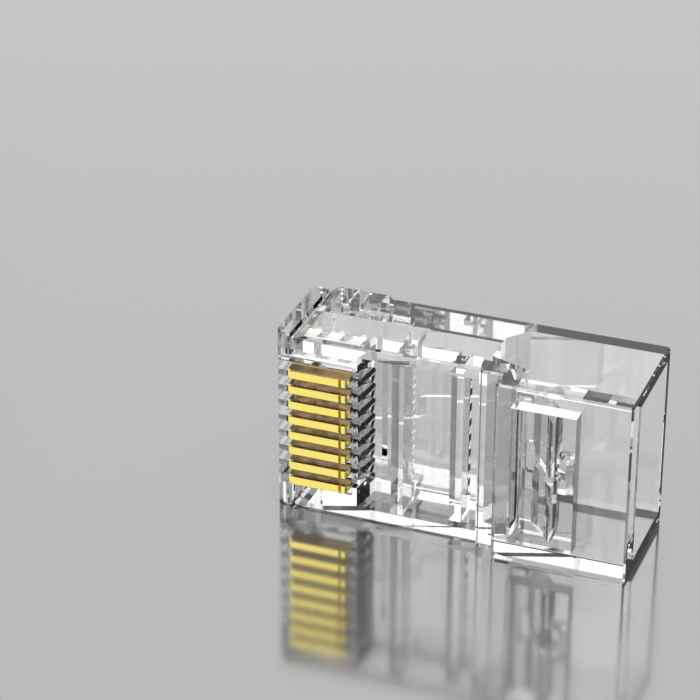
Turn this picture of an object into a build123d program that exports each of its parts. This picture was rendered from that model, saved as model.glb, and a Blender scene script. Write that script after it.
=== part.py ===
from build123d import *
import math
import os

# Eight-way modular plug in clear moulded plastic, as supplied before it is crimped on a cable.
# It stands on one narrow side wall. X runs from the nose (-X) to the cable entry (+X),
# the contacts face -Y, the latch lever stands off on +Y, and Z is the width of the plug.
# The origin is on the resting side wall, half way along the body and half way up its front part.
# Sections are drawn with two lengths: s, measured forwards from the cable entry,
# and h, measured from the latch-side face towards the contact side. All values are millimetres.

# Housing envelope
body_width = 11.6
body_length = 22.2
front_height = 6.5
rear_height = 7.95
rear_box_length = 8.1
collar_height = 6.7
collar_length = 1.3
edge_break = 0.12

# Nose
nose_radius = 0.9
neck_setback = 1.0
neck_depth = 0.25
neck_riser = 0.08
neck_length = 0.9
nose_latch_chamfer = 0.45
front_wall = 0.8

# Walls
side_wall = 0.75
latch_wall = 0.6
jacket_roof = 1.7

# Latch-side pad behind the nose
pad_height = 0.5
pad_length = 4.0
pad_setback = 1.15
pad_ramp = 0.45

# Jacket chamber, open at the cable entry
jacket_chamber_length = 7.15
jacket_step = 1.1
throat_length = 2.25

# Conductor chamber, a flat space from the throat to the nose, narrower than the window over it
conductor_floor = 1.95
conductor_height = 2.35
conductor_side_clearance = 0.28

# Window over the conductors
window_rear = 9.5
window_rear_lean = 0.4
window_front_lean = 0.35

# Contact comb
contact_count = 8
contact_pitch = 1.02
contact_thickness = 0.5
slot_clearance = 0.06
crossbar_width = 0.45
lead_in_width = 0.5
lead_in_depth = 0.35
rim_notch_width = 0.36
rim_notch_depth = 0.22
comb_recess = 0.25
comb_wall = 0.33
slot_end_gap = 0.06
comb_margin = 0.22
slot_floor_drop = 0.8

# Contact blade
contact_proud = 0.78
contact_front_gap = 0.34
crown_length = 3.07
front_step_length = 0.17
front_step_drop = 0.29
crown_break = 0.04
crown_notch = 0.17
crown_notch_depth = 0.4
rear_bump = 0.24
rear_slope = 0.08
rear_slope_drop = 0.5
blade_depth = 2.4
tine_count = 3
tine_length = 1.55
tine_width = 0.9
tine_lean = 0.3
tine_bulge = 0.16

# Fixed rib and moving clamp bar across the conductor window
rib_setback = 1.1
rib_sink = 0.58
bar_setback = 2.9
bar_width = 0.76
bar_draft = 0.06
bar_depth = 2.05
foot_notch_width = 0.5
foot_notch_height = 0.4
foot_notch_reach = 0.25
clamp_gap = 0.05
bar_travel = 1.4

# Jacket clamp bar and its window in the rear box
jacket_window_rear = 3.25
jacket_window_width = 8.9
jacket_bar_length = 8.7
crest_length = 7.86
knuckle_radius = 0.15
crest_back = 2.55
crest_sink = 0.06
crest_flat = 0.08
web_length = 0.7
lug_sink = 0.9
lug_length = 0.95
lug_width = 2.3
lug_thickness = 1.0
lug_ramp = 0.35
crest_height = 1.95
heel_back = 1.9
crest_notch_width = 0.6
crest_notch_depth = 0.4
hinge_slot_length = 2.07
hinge_slot_width = 0.66
hinge_slot_corner = 0.2
hinge_slot_back = 0.53

# Latch lever
lever_angle = 19.5
lever_length = 17.1
lever_knuckle = 0.72
lever_gap = 0.05
lever_pivot_setback = 0.25
lever_pivot_depth = 0.55
lever_inner_offset = 0.05
catch_width = 6.2
catch_length = 6.4
catch_root_depth = 0.68
catch_end_depth = 0.6
tail_width = 3.25
tail_tip_inner = 0.05
tail_tip_outer = 0.5
tail_corner = 0.2

OVERSHOOT = 1.0
JOIN = 0.1
NEAR = 0.01
MID_WIDTH = body_width / 2


def at(s, h):
    """Turn a section point (s, h) into the plug's own X and Y."""
    return (body_length / 2 - s, front_height / 2 - h)


def prism(outline, low, high):
    """Extrude a straight-sided section across the width, from Z low to Z high."""
    wire = Polyline(*[at(s, h) for s, h in outline], close=True)
    return Pos(0, 0, low) * extrude(make_face(wire), high - low, dir=(0, 0, 1))


def across(outline, width):
    """A section extruded to a width that is centred on the plug."""
    return prism(outline, MID_WIDTH - width / 2, MID_WIDTH + width / 2)


def round_bar(s, h, radius, width):
    """A cylinder that lies across the plug, centred on its width."""
    x, y = at(s, h)
    return Pos(x, y, MID_WIDTH) * Cylinder(radius, width)


def contact_z(index):
    """Z of the middle of one contact and of the conductor under it."""
    return MID_WIDTH + (index - (contact_count - 1) / 2) * contact_pitch


conductor_ceiling = conductor_floor + conductor_height
inner_width = body_width - 2 * side_wall
nose_inner = body_length - front_wall
comb_top = front_height - comb_recess
comb_width = contact_count * contact_pitch + 2 * comb_margin
blade_span = (contact_count - 1) * contact_pitch + contact_thickness
conductor_width = blade_span + 2 * conductor_side_clearance
blade_front = nose_inner - contact_front_gap
crown_front = blade_front - front_step_length
crown_rear = crown_front - crown_length
bump_front = crown_rear - crown_notch
bump_rear = bump_front - rear_bump
blade_rear = bump_rear - rear_slope
comb_rear = blade_rear - slot_end_gap
window_front = comb_rear - comb_wall
bar_rear = window_front - bar_setback
rib_rear = window_rear + rib_setback
throat_front = jacket_chamber_length + throat_length
slot_width = contact_thickness + 2 * slot_clearance


def lever_pivot():
    """Section point of the lever's turning line, at the latch-side corner of the nose."""
    return (body_length - lever_pivot_setback, -lever_pivot_depth)


def jacket_pivot():
    """Section point of the jacket bar's turning line, on the front wall of its window."""
    return (jacket_chamber_length, rear_height - jacket_roof - jacket_step + knuckle_radius)


def outer_shell():
    """Solid outside form: rear box, collar, front part, nose and latch-side pad."""
    box_end = rear_box_length
    collar_end = rear_box_length + collar_length
    pad_front = body_length - pad_setback
    pad_rear = pad_front - pad_length
    profile = [
        (0, 0),
        (0, rear_height),
        (box_end, rear_height),
        (box_end, collar_height),
        (collar_end, collar_height),
        (collar_end, front_height),
        (body_length, front_height),
        (body_length, nose_latch_chamfer),
        (body_length - nose_latch_chamfer, 0),
    ]
    shell = prism(profile, 0, body_width)
    nose_corner = at(body_length, front_height) + (MID_WIDTH,)
    nose_edge = shell.edges().filter_by(Axis.Z).sort_by_distance(nose_corner)[0]
    shell = fillet(nose_edge, nose_radius)
    collar_x = at(collar_end, 0)[0]
    cross_edges = shell.edges().filter_by(Axis.Z).filter_by(lambda e: e.center().X > collar_x - NEAR)
    convex = [e for e in cross_edges if not is_inner_corner(e)]
    shell = chamfer(convex, edge_break)
    rims = shell.faces().filter_by(Axis.Z).edges()
    shell = chamfer(rims, edge_break)
    pad = [
        (pad_rear, JOIN),
        (pad_rear, 0),
        (pad_rear + pad_ramp, -pad_height),
        (pad_front - pad_ramp, -pad_height),
        (pad_front, 0),
        (pad_front, JOIN),
    ]
    return shell + prism(pad, edge_break, body_width - edge_break)


def is_inner_corner(edge):
    """True for the two re-entrant corners where the rear box steps down to the front part."""
    corners = [
        at(rear_box_length, collar_height),
        at(rear_box_length + collar_length, front_height),
    ]
    centre = edge.center()
    return any(math.hypot(centre.X - x, centre.Y - y) < NEAR for x, y in corners)


def neck_grooves():
    """Shallow stepped groove behind the nose, one across each side wall."""
    x_step = at(body_length - neck_setback, 0)[0]
    y_low = at(0, front_height + OVERSHOOT)[1]
    groove = [
        (x_step, -OVERSHOOT),
        (x_step, 0),
        (x_step + neck_riser, neck_depth),
        (x_step + neck_length, 0),
        (x_step + neck_length, -OVERSHOOT),
    ]
    face = Plane.XZ * make_face(Polyline(*groove, close=True))
    lower = Pos(0, y_low, 0) * extrude(face, front_height + pad_height + 2 * OVERSHOOT, dir=(0, 1, 0))
    upper = mirror(lower, Plane.XY.offset(MID_WIDTH))
    return [lower, upper]


def cable_passage():
    """Jacket chamber and throat, open at the cable entry."""
    jacket_ceiling = rear_height - jacket_roof
    throat_rear = jacket_chamber_length
    outline = [
        (-OVERSHOOT, latch_wall),
        (-OVERSHOOT, jacket_ceiling),
        (throat_rear, jacket_ceiling),
        (throat_rear, jacket_ceiling - jacket_step),
        (throat_front, conductor_ceiling),
        (throat_front, conductor_floor),
        (throat_rear + throat_length / 2, latch_wall),
    ]
    return across(outline, inner_width)


def conductor_chamber():
    """Flat space for the conductors, from inside the throat to the nose wall."""
    outline = [
        (throat_front - JOIN, conductor_floor),
        (throat_front - JOIN, conductor_ceiling),
        (nose_inner, conductor_ceiling),
        (nose_inner, conductor_floor),
    ]
    return across(outline, conductor_width)


def bar_pocket():
    """Room in the ledges beside the conductors, into which the ends of the clamp bar are driven."""
    bottom = front_height - bar_depth - bar_travel - 2 * clamp_gap
    outline = [
        (bar_rear - clamp_gap, bottom),
        (bar_rear - clamp_gap, conductor_ceiling + JOIN),
        (bar_rear + bar_width + clamp_gap, conductor_ceiling + JOIN),
        (bar_rear + bar_width + clamp_gap, bottom),
    ]
    return across(outline, inner_width)


def conductor_window():
    """Opening in the contact side, down to the ledges on both sides of the conductor chamber."""
    outline = [
        (window_rear, front_height + OVERSHOOT),
        (window_rear, front_height),
        (window_rear + window_rear_lean, conductor_ceiling),
        (window_front - window_front_lean, conductor_ceiling),
        (window_front, front_height),
        (window_front, front_height + OVERSHOOT),
    ]
    return across(outline, inner_width)


def jacket_window():
    """Opening in the roof of the rear box, in which the jacket clamp bar sits."""
    jacket_ceiling = rear_height - jacket_roof
    outline = [
        (jacket_window_rear, rear_height + OVERSHOOT),
        (jacket_window_rear, jacket_ceiling - OVERSHOOT / 2),
        (jacket_chamber_length, jacket_ceiling - OVERSHOOT / 2),
        (jacket_chamber_length, rear_height + OVERSHOOT),
    ]
    return across(outline, jacket_window_width)


def contact_slot(index):
    """One slot of the comb: open on top, through the nose, and down into the chamber."""
    outline = [
        (comb_rear, front_height + OVERSHOOT),
        (comb_rear, conductor_ceiling - JOIN),
        (nose_inner, conductor_ceiling - JOIN),
        (nose_inner, conductor_ceiling - slot_floor_drop),
        (body_length + OVERSHOOT, conductor_ceiling - slot_floor_drop),
        (body_length + OVERSHOOT, front_height + OVERSHOOT),
    ]
    low = contact_z(index) - slot_width / 2
    return prism(outline, low, low + slot_width)


def edge_notch(index, mouth_h, width, depth):
    """Pointed notch in an edge of the cross bar, with its mouth at mouth_h and depth towards the contacts."""
    x_rear = at(window_front - window_front_lean - crossbar_width, 0)[0]
    x_front = at(window_front + crossbar_width, 0)[0]
    y_edge = at(0, mouth_h)[1]
    y_outside = y_edge + math.copysign(JOIN, depth)
    z = contact_z(index)
    half = width / 2
    corners = [
        (y_outside, z - half),
        (y_edge, z - half),
        (y_edge - depth, z),
        (y_edge, z + half),
        (y_outside, z + half),
    ]
    face = Plane.YZ * make_face(Polyline(*corners, close=True))
    return Pos(x_front, 0, 0) * extrude(face, x_rear - x_front, dir=(1, 0, 0))


def cross_bar_notches():
    """Lead-ins under the cross bar and small notches along its rim, one of each for a conductor."""
    lead_ins = [edge_notch(i, conductor_ceiling, lead_in_width, lead_in_depth) for i in range(contact_count)]
    rim = [edge_notch(i, front_height, rim_notch_width, -rim_notch_depth) for i in range(contact_count)]
    return lead_ins + rim


def comb_field():
    """Shallow recess of the contact field between the two raised side rims."""
    outline = [
        (comb_rear, comb_top),
        (body_length + OVERSHOOT, comb_top),
        (body_length + OVERSHOOT, front_height + OVERSHOOT),
        (comb_rear, front_height + OVERSHOOT),
    ]
    return across(outline, comb_width)


def bar_section(rear, top, foot):
    """Side view of a bar: upright rear face and a front face with a little moulding draft."""
    return [
        (rear, top),
        (rear + bar_width, top),
        (rear + bar_width - bar_draft, foot),
        (rear, foot),
    ]


def foot_notches(rear, foot):
    """Notch over each conductor, cut in the lower rear edge of a bar, so that teeth stay between them."""
    outline = [
        (rear - OVERSHOOT / 2, foot - OVERSHOOT / 2),
        (rear - OVERSHOOT / 2, foot + foot_notch_height),
        (rear + foot_notch_reach, foot + foot_notch_height),
        (rear + foot_notch_reach, foot - OVERSHOOT / 2),
    ]
    half = foot_notch_width / 2
    return [prism(outline, contact_z(i) - half, contact_z(i) + half) for i in range(contact_count)]


def window_rib():
    """Fixed rib of the housing across the rear of the conductor window, with its ends on the ledges."""
    section = bar_section(rib_rear, front_height - rib_sink, conductor_ceiling)
    rib = across(section, inner_width + side_wall)
    return rib - foot_notches(rib_rear, conductor_ceiling)


def hinge_seats():
    """Round hollows in which the lever's root and the jacket bar's edge turn."""
    lever_seat = round_bar(*lever_pivot(), lever_knuckle + lever_gap, catch_width + 2 * lever_gap)
    bar_seat = round_bar(*jacket_pivot(), knuckle_radius + clamp_gap, jacket_window_width)
    return [lever_seat, bar_seat]


def plug_body():
    """The clear housing, one moulding."""
    body = outer_shell() - neck_grooves()
    body -= cable_passage()
    body -= conductor_chamber()
    body -= conductor_window()
    body -= bar_pocket()
    body -= jacket_window()
    body -= comb_field()
    body -= [contact_slot(i) for i in range(contact_count)]
    body -= cross_bar_notches()
    body -= hinge_seats()
    return body + window_rib()


def tine(s_front, base, tip):
    """One fin of a contact: straight slanted front edge and a bowed rear edge."""
    s_rear = s_front - tine_width
    s_tip = s_rear + tine_lean
    middle = (s_rear - tine_bulge / 2, (base + tip) / 2)
    front = Line(at(s_front, base), at(s_tip, tip))
    rear = ThreePointArc(at(s_tip, tip), at(*middle), at(s_rear, base))
    close = Polyline(at(s_rear, base), at(s_rear, base + JOIN), at(s_front, base + JOIN), at(s_front, base))
    return make_face(front + rear + close)


def contact_section():
    """Side view of a contact: stepped crown, rear bump, deep blade and three fins."""
    top = front_height + contact_proud
    base = top - blade_depth
    outline = [
        (blade_front, base),
        (blade_front, top - front_step_drop),
        (crown_front, top - front_step_drop),
        (crown_front, top),
        (crown_rear, top),
        (crown_rear - crown_notch / 2, top - crown_notch_depth),
        (bump_front, top),
        (bump_rear, top),
        (blade_rear, top - rear_slope_drop),
        (blade_rear, base),
    ]
    section = make_face(Polyline(*[at(s, h) for s, h in outline], close=True))
    pitch = (blade_front - blade_rear - tine_width) / (tine_count - 1)
    for i in range(tine_count):
        section += tine(blade_front - i * pitch, base, base - tine_length)
    return section


def contact(index):
    """One gold-plated contact in its slot, not yet pressed home."""
    low = contact_z(index) - contact_thickness / 2
    blade = Pos(0, 0, low) * extrude(contact_section(), contact_thickness, dir=(0, 0, 1))
    y_crown = at(0, front_height + contact_proud)[1]
    crown_edges = [e for e in blade.edges().filter_by(Axis.X) if abs(e.center().Y - y_crown) < NEAR]
    return chamfer(crown_edges, crown_break)


def conductor_clamp_bar():
    """Bar that the crimping tool drives down onto the conductors."""
    foot = front_height - bar_depth
    bar = across(bar_section(bar_rear, front_height, foot), inner_width - 2 * clamp_gap)
    return bar - foot_notches(bar_rear, foot)


def jacket_clamp_bar():
    """Ridged bar hung on a thin web, which the tool tips down onto the cable jacket."""
    pivot_s, pivot_h = jacket_pivot()
    crest_s = pivot_s - crest_back
    crest_h = rear_height - crest_sink
    section = [
        (pivot_s, pivot_h + knuckle_radius),
        (pivot_s - web_length, pivot_h + knuckle_radius),
        (crest_s + crest_flat, crest_h),
        (crest_s, crest_h),
        (crest_s, crest_h - crest_height),
        (pivot_s - heel_back, pivot_h - knuckle_radius),
        (pivot_s, pivot_h - knuckle_radius),
    ]
    bar = across(section, jacket_bar_length)
    bar += round_bar(pivot_s, pivot_h, knuckle_radius, jacket_bar_length)
    bar += across(lug_section(crest_s, crest_h - lug_sink), lug_width)
    bar -= end_tapers(crest_h, pivot_h + knuckle_radius)
    slope_foot = (pivot_s - web_length, pivot_h + knuckle_radius)
    bar -= slope_groove((crest_s, crest_h), slope_foot)
    return bar - hinge_slot(pivot_s, pivot_h)


def lug_section(crest_s, lug_h):
    """Side view of the lug behind the crest, which snaps under the window's edge when crimped."""
    return [
        (crest_s + crest_flat, lug_h),
        (crest_s - lug_length + lug_ramp, lug_h),
        (crest_s - lug_length, lug_h - lug_ramp),
        (crest_s - lug_length, lug_h - lug_thickness),
        (crest_s + crest_flat, lug_h - lug_thickness),
    ]


def end_tapers(crest_h, web_h):
    """Bevels that bring both ends of the jacket bar in towards its crest."""
    y_crest = at(0, crest_h)[1]
    y_web = at(0, web_h)[1]
    z_base = MID_WIDTH + jacket_bar_length / 2
    z_crest = MID_WIDTH + crest_length / 2
    corners = [
        (y_crest - JOIN, z_crest),
        (y_crest, z_crest),
        (y_web, z_base),
        (y_web, z_base + OVERSHOOT),
        (y_crest - JOIN, z_base + OVERSHOOT),
    ]
    face = Plane.YZ * make_face(Polyline(*corners, close=True))
    upper = Pos(at(jacket_chamber_length, 0)[0], 0, 0) * extrude(face, jacket_chamber_length, dir=(1, 0, 0))
    lower = mirror(upper, Plane.XY.offset(MID_WIDTH))
    return [upper, lower]


def slope_groove(crest, foot):
    """Pointed groove down the front slope of the jacket bar, half way along it."""
    x_foot, y_foot = at(*foot)
    x_crest, y_crest = at(*crest)
    run = Vector(x_crest - x_foot, y_crest - y_foot, 0)
    plane = Plane(origin=(x_foot, y_foot, MID_WIDTH), x_dir=(0, 0, 1), z_dir=run)
    half = crest_notch_width / 2
    corners = [(-half, -OVERSHOOT), (-half, 0), (0, crest_notch_depth), (half, 0), (half, -OVERSHOOT)]
    mouth = Polyline(*corners, close=True)
    groove = extrude(plane * make_face(mouth), run.length + 2 * OVERSHOOT, dir=run.normalized())
    return Pos(*(run.normalized() * -OVERSHOOT)) * groove


def hinge_slot(pivot_s, pivot_h):
    """Eight-sided relief through the middle of the web, which leaves two short hinges."""
    x, y = at(pivot_s - hinge_slot_back, pivot_h)
    rectangle = Rectangle(hinge_slot_width, hinge_slot_length)
    outline = Plane.XZ * chamfer(rectangle.vertices(), hinge_slot_corner)
    return Pos(x, y - OVERSHOOT, MID_WIDTH) * extrude(outline, 2 * OVERSHOOT, dir=(0, 1, 0))


def lever_plate(outline, width):
    """Part of the lever: a section given along and across the lever, extruded to a width."""
    turn = math.radians(lever_angle)
    root_s, root_h = lever_pivot()
    points = [
        (
            root_s - along * math.cos(turn) + offset * math.sin(turn),
            root_h - along * math.sin(turn) + offset * math.cos(turn),
        )
        for along, offset in outline
    ]
    return across(points, width)


def latch_lever():
    """Latch: round root at the nose, wide catch with two shoulders, and a narrow tail."""
    catch = lever_plate(
        [
            (0, lever_inner_offset),
            (catch_length, lever_inner_offset),
            (catch_length, -catch_end_depth),
            (0, -catch_root_depth),
        ],
        catch_width,
    )
    tail = lever_plate(
        [
            (catch_length / 2, lever_inner_offset),
            (lever_length, tail_tip_inner),
            (lever_length, -tail_tip_outer),
            (catch_length / 2, -catch_end_depth),
        ],
        tail_width,
    )
    tip_edges = tail.edges().filter_by(lambda e: abs(e.length - (tail_tip_inner + tail_tip_outer)) < NEAR)
    tail = fillet(tip_edges, tail_corner)
    root_s, root_h = lever_pivot()
    knuckle = round_bar(root_s, root_h, lever_knuckle, catch_width)
    return catch + tail + knuckle


def build():
    """Every separate piece of the plug, by name."""
    pieces = {
        "plug_body": plug_body(),
        "latch_lever": latch_lever(),
        "conductor_clamp_bar": conductor_clamp_bar(),
        "jacket_clamp_bar": jacket_clamp_bar(),
    }
    for index in range(contact_count):
        pieces[f"contact_{index + 1}"] = contact(index)
    return pieces


os.makedirs("parts", exist_ok=True)
for name, solid in build().items():
    export_step(solid, f"parts/{name}.step")
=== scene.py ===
import math

import bpy
from mathutils import Matrix, Vector


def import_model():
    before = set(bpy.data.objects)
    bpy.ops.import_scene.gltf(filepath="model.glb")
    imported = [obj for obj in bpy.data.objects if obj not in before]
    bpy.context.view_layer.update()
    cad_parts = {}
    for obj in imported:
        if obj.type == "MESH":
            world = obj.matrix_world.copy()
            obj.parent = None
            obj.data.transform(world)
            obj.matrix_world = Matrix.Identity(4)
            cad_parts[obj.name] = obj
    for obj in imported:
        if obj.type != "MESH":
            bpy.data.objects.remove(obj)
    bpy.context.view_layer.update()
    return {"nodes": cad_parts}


MM = 0.001
WHITE = (1.0, 1.0, 1.0, 1.0)
UNIT = (0.0, 1.0)

# Camera of the photograph, in the plug's own frame
CAMERA_AT = (44.035 * MM, -136.908 * MM, 87.739 * MM)
CAMERA_AZIMUTH = 20.631
CAMERA_ELEVATION = 28.158
CAMERA_ROLL = 0.123
CAMERA_LENS = 144.0
CAMERA_SENSOR = 36.0
CAMERA_CLIP = (5 * MM, 20.0)

# Clear plastic, with flow marks drawn out across the plug
PLASTIC_IOR = 1.585
PLASTIC_TINT = (0.955, 0.96, 0.96, 1.0)
PLASTIC_ROUGH = (0.0, 0.02)
FLOW_SCALE = 900.0
FLOW_STRETCH = (1.0, 0.4, 0.4)
FLOW_STRENGTH = 0.02
FLOW_DEPTH = 0.02 * MM

# Contacts, gold down to the plating edge and nickel below it, with painted shade on the flanks: darker
# copies of both metals on the faces turned sideways
GOLD = (0.95, 0.80, 0.20)
PAINTED_SHADE_GOLD = (0.43, 0.29, 0.14)
NICKEL = (0.90, 0.90, 0.89)
PAINTED_SHADE_NICKEL = (0.90, 0.89, 0.87)
PAINTED_SHADE_FACING = (0.5, 0.9)
PLATING_EDGE = -2.35 * MM
PLATING_BLEND = 0.5 * MM
CONTACT_ROUGH = (0.14, 0.24)
GRAIN_SCALE = 2600.0
GRAIN_STRETCH = (0.12, 1.0, 1.0)
GRAIN_DETAIL = 3.0
GRAIN_STRENGTH = 0.06
GRAIN_DEPTH = 0.01 * MM

# Glossy floor, a hair below the plug so that the two don't coincide
FLOOR_SIZE = 6.0
FLOOR_GAP = 0.02 * MM
FLOOR_COLOUR = (0.405, 0.405, 0.405, 1.0)
FLOOR_METAL = 0.85
FLOOR_ROUGH = (0.09, 0.13)
FLOOR_HAZE_SCALE = 14.0

# Air of the studio: its brightness at the horizon and above, and the heights between which it changes
SKY_LEVELS = (1.15, 0.9)
SKY_HEIGHTS = (0.0, 0.25)

# Cards round the plug: name, width, height, place and glow, where a faint one gives the plastic dark edges
CENTRE = (0.0, 0.0, 0.006)
CARDS = (
    ("back_card", 0.5, 0.73, (-0.342, 0.992, 0.582), 1.2),
    ("front_card", 0.5, 0.4, (-0.31, -0.94, 0.56), 2.7),
    ("right_flag", 0.78, 0.64, (0.414, 0.975, 0.563), 0.3),
    ("left_flag", 0.3, 0.38, (-0.71, 0.846, 0.469), 0.35),
)

# Soft lamp overhead
SOFTBOX_AT = (0.12, -0.05, 0.8)
SOFTBOX_SIZE = 0.8
SOFTBOX_WATTS = 2.6

# Light paths: many through the plastic, fewer mirrored ones, so that its edges stay dark
PLASTIC_BOUNCES = 16
GLOSSY_BOUNCES = 6


class Socket:
    """A shader output that can be multiplied in plain Python."""

    def __init__(self, tree, output):
        self.tree = tree
        self.output = output

    def _math(self, operation, first, second):
        node = self.tree.nodes.new("ShaderNodeMath")
        node.operation = operation
        for slot, value in enumerate((first, second)):
            if isinstance(value, Socket):
                self.tree.links.new(value.output, node.inputs[slot])
            else:
                node.inputs[slot].default_value = value
        return Socket(self.tree, node.outputs[0])

    def __mul__(self, other):
        return self._math("MULTIPLY", self, other)

    def __rmul__(self, other):
        return self._math("MULTIPLY", other, self)


class Shader:
    """One material or world tree, built from plain calls."""

    def __init__(self, owner):
        owner.use_nodes = True
        self.tree = owner.node_tree
        self.tree.nodes.clear()

    def node(self, kind, settings=None, inputs=None, out=0):
        """Adds a node, sets its settings and inputs, and gives one of its outputs."""
        made = self.tree.nodes.new(kind)
        for name, value in (settings or {}).items():
            setattr(made, name, value)
        for name, value in (inputs or {}).items():
            if isinstance(value, Socket):
                self.tree.links.new(value.output, made.inputs[name])
            else:
                made.inputs[name].default_value = value
        return Socket(self.tree, made.outputs[out])

    def position(self, scale=(1.0, 1.0, 1.0)):
        """Object coordinates, each axis with its own scale."""
        place = self.node("ShaderNodeTexCoord", out="Object")
        return self.node("ShaderNodeMapping", inputs={"Vector": place, "Scale": scale})

    def noise(self, scale, stretch=(1.0, 1.0, 1.0), detail=2.0):
        """Soft random pattern, drawn out along the axes with a small stretch value."""
        return self.node(
            "ShaderNodeTexNoise",
            inputs={"Vector": self.position(stretch), "Scale": scale, "Detail": detail},
        )

    def ramp(self, value, ends, levels, easing="LINEAR"):
        """Goes from one level to the other while the value goes from one end to the other."""
        return self.node(
            "ShaderNodeMapRange",
            {"interpolation_type": easing},
            {
                "Value": value,
                "From Min": ends[0],
                "From Max": ends[1],
                "To Min": levels[0],
                "To Max": levels[1],
            },
        )

    def part(self, vector, axis):
        """One of the three numbers of a vector."""
        return self.node("ShaderNodeSeparateXYZ", inputs={"Vector": vector}, out=axis)

    def colours(self, factor, first, second):
        """Mix of two colours, each a plain one or a socket."""
        made = self.tree.nodes.new("ShaderNodeMix")
        made.data_type = "RGBA"
        self.tree.links.new(factor.output, made.inputs[0])
        for slot, value in ((6, first), (7, second)):
            if isinstance(value, Socket):
                self.tree.links.new(value.output, made.inputs[slot])
            else:
                made.inputs[slot].default_value = (*value, 1.0)
        return Socket(self.tree, made.outputs[2])

    def bump(self, height, strength, distance):
        """Surface normal with a fine relief."""
        return self.node(
            "ShaderNodeBump",
            inputs={"Height": height, "Strength": strength, "Distance": distance},
        )

    def principled(self, inputs):
        """Adds the surface shader and joins it to the output."""
        self.finish(self.node("ShaderNodeBsdfPrincipled", inputs=inputs))

    def finish(self, surface, kind="ShaderNodeOutputMaterial"):
        """Joins the surface to a new output node."""
        output = self.tree.nodes.new(kind)
        self.tree.links.new(surface.output, output.inputs["Surface"])


def clear_plastic():
    """Polished clear polycarbonate with a trace of flow marks."""
    material = bpy.data.materials.new("clear_polycarbonate")
    shader = Shader(material)
    flow = shader.noise(FLOW_SCALE, FLOW_STRETCH)
    shader.principled(
        {
            "Base Color": PLASTIC_TINT,
            "Roughness": shader.ramp(flow, UNIT, PLASTIC_ROUGH),
            "IOR": PLASTIC_IOR,
            "Transmission Weight": 1.0,
            "Normal": shader.bump(flow, FLOW_STRENGTH, FLOW_DEPTH),
        }
    )
    return material


def contact_metal():
    """Contact blade: gold on the edge of the crown, nickel below it, and painted shade on the flanks,
    which are coloured darker.
    """
    material = bpy.data.materials.new("plated_contact")
    shader = Shader(material)
    grain = shader.noise(GRAIN_SCALE, GRAIN_STRETCH, GRAIN_DETAIL)
    plating_ends = (PLATING_EDGE - PLATING_BLEND / 2, PLATING_EDGE + PLATING_BLEND / 2)
    unplated = shader.ramp(shader.part(shader.position(), 1), plating_ends, UNIT)
    sideways = shader.part(shader.node("ShaderNodeTexCoord", out="Normal"), 2)
    # painted shade: faces turned sideways get darker copies of the gold and nickel
    painted_shade_mask = shader.ramp(sideways * sideways, PAINTED_SHADE_FACING, UNIT, "SMOOTHSTEP")
    edges = shader.colours(unplated, GOLD, NICKEL)
    painted_shade_colour = shader.colours(unplated, PAINTED_SHADE_GOLD, PAINTED_SHADE_NICKEL)
    shader.principled(
        {
            "Base Color": shader.colours(painted_shade_mask, edges, painted_shade_colour),
            "Metallic": 1.0,
            "Roughness": shader.ramp(grain, UNIT, CONTACT_ROUGH),
            "Normal": shader.bump(grain, GRAIN_STRENGTH, GRAIN_DEPTH),
        }
    )
    return material


def dress(frame):
    """Gives each CAD piece its material."""
    plastic = clear_plastic()
    metal = contact_metal()
    for name, node in frame["nodes"].items():
        material = metal if name.startswith("contact") else plastic
        node.data.materials.clear()
        node.data.materials.append(material)


def floor_material():
    """Pale grey floor with a soft mirror image, a little hazier in places."""
    material = bpy.data.materials.new("studio_floor")
    shader = Shader(material)
    haze = shader.noise(FLOOR_HAZE_SCALE)
    shader.principled(
        {
            "Base Color": FLOOR_COLOUR,
            "Metallic": FLOOR_METAL,
            "Roughness": shader.ramp(haze, UNIT, FLOOR_ROUGH),
        }
    )
    return material


def glow_material(name, strength):
    """Even white light, bright for a card and faint for a flag."""
    material = bpy.data.materials.new(name)
    shader = Shader(material)
    shader.finish(shader.node("ShaderNodeEmission", inputs={"Color": WHITE, "Strength": strength}))
    return material


def turned(place, aim, front):
    """Rotation that points the front axis of a thing at its place towards the aim."""
    return (Vector(aim) - Vector(place)).to_track_quat(front, "Y")


def plane(name, width, depth, place, facing, material):
    """A flat card or floor, turned so that its front faces a point."""
    bpy.ops.mesh.primitive_plane_add(size=1.0, location=(0.0, 0.0, 0.0))
    made = bpy.context.object
    made.name = name
    for vertex in made.data.vertices:
        vertex.co.x *= width
        vertex.co.y *= depth
    made.rotation_mode = "QUATERNION"
    made.rotation_quaternion = turned(place, facing, "Z")
    made.location = place
    made.data.materials.append(material)


def studio():
    """Floor and cards."""
    floor_at = (0.0, 0.0, -FLOOR_GAP)
    plane("floor", FLOOR_SIZE, FLOOR_SIZE, floor_at, (0.0, 0.0, 1.0), floor_material())
    for name, width, height, place, strength in CARDS:
        plane(name, width, height, place, CENTRE, glow_material(name, strength))


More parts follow.
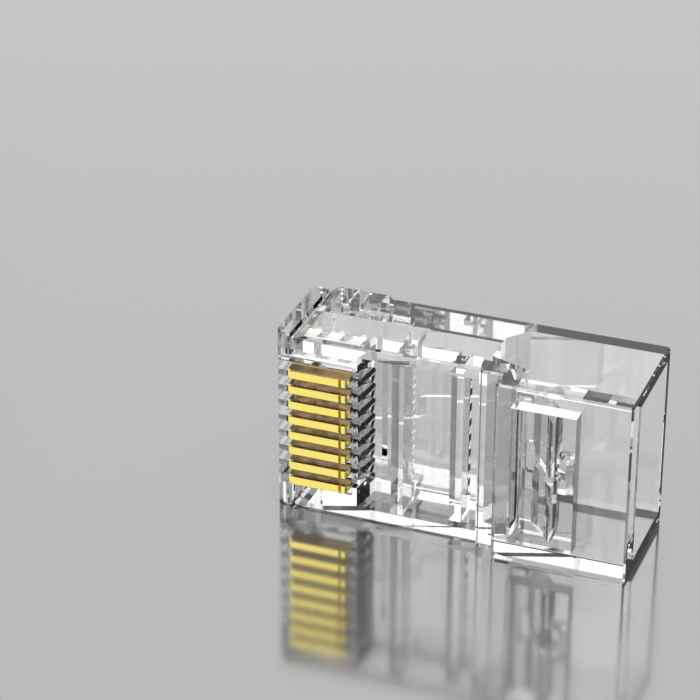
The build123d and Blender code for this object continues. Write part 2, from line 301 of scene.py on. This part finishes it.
def softbox():
    """The lamp overhead, aimed at the plug."""
    data = bpy.data.lights.new("top_softbox", "AREA")
    data.shape = "RECTANGLE"
    data.size = SOFTBOX_SIZE
    data.size_y = SOFTBOX_SIZE
    data.energy = SOFTBOX_WATTS
    made = bpy.data.objects.new("top_softbox", data)
    bpy.context.scene.collection.objects.link(made)
    made.location = SOFTBOX_AT
    made.rotation_mode = "QUATERNION"
    made.rotation_quaternion = turned(SOFTBOX_AT, CENTRE, "-Z")


def world():
    """Studio air: an even white tent, a little brighter at the horizon."""
    made = bpy.data.worlds.new("studio_air")
    bpy.context.scene.world = made
    shader = Shader(made)
    height = shader.part(shader.node("ShaderNodeTexCoord", out="Generated"), 2)
    level = shader.ramp(height, SKY_HEIGHTS, SKY_LEVELS, "SMOOTHSTEP")
    surface = shader.node("ShaderNodeBackground", inputs={"Color": WHITE, "Strength": level})
    shader.finish(surface, "ShaderNodeOutputWorld")


def camera():
    """Camera at the photograph's place, angle and lens."""
    data = bpy.data.cameras.new("photo_camera")
    data.sensor_width = CAMERA_SENSOR
    data.lens = CAMERA_LENS
    data.clip_start, data.clip_end = CAMERA_CLIP
    made = bpy.data.objects.new("photo_camera", data)
    bpy.context.scene.collection.objects.link(made)
    turn = (
        Matrix.Rotation(math.radians(CAMERA_AZIMUTH), 4, "Z")
        @ Matrix.Rotation(math.radians(90 - CAMERA_ELEVATION), 4, "X")
        @ Matrix.Rotation(math.radians(CAMERA_ROLL), 4, "Z")
    )
    made.matrix_world = Matrix.Translation(Vector(CAMERA_AT)) @ turn
    bpy.context.scene.camera = made


def light_paths():
    """How often light may bounce, and colours shown as written."""
    cycles = bpy.context.scene.cycles
    cycles.max_bounces = PLASTIC_BOUNCES
    cycles.transmission_bounces = PLASTIC_BOUNCES
    cycles.transparent_max_bounces = PLASTIC_BOUNCES
    cycles.glossy_bounces = GLOSSY_BOUNCES
    bpy.context.scene.view_settings.view_transform = "Standard"


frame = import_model()
dress(frame)
studio()
softbox()
world()
camera()
light_paths()
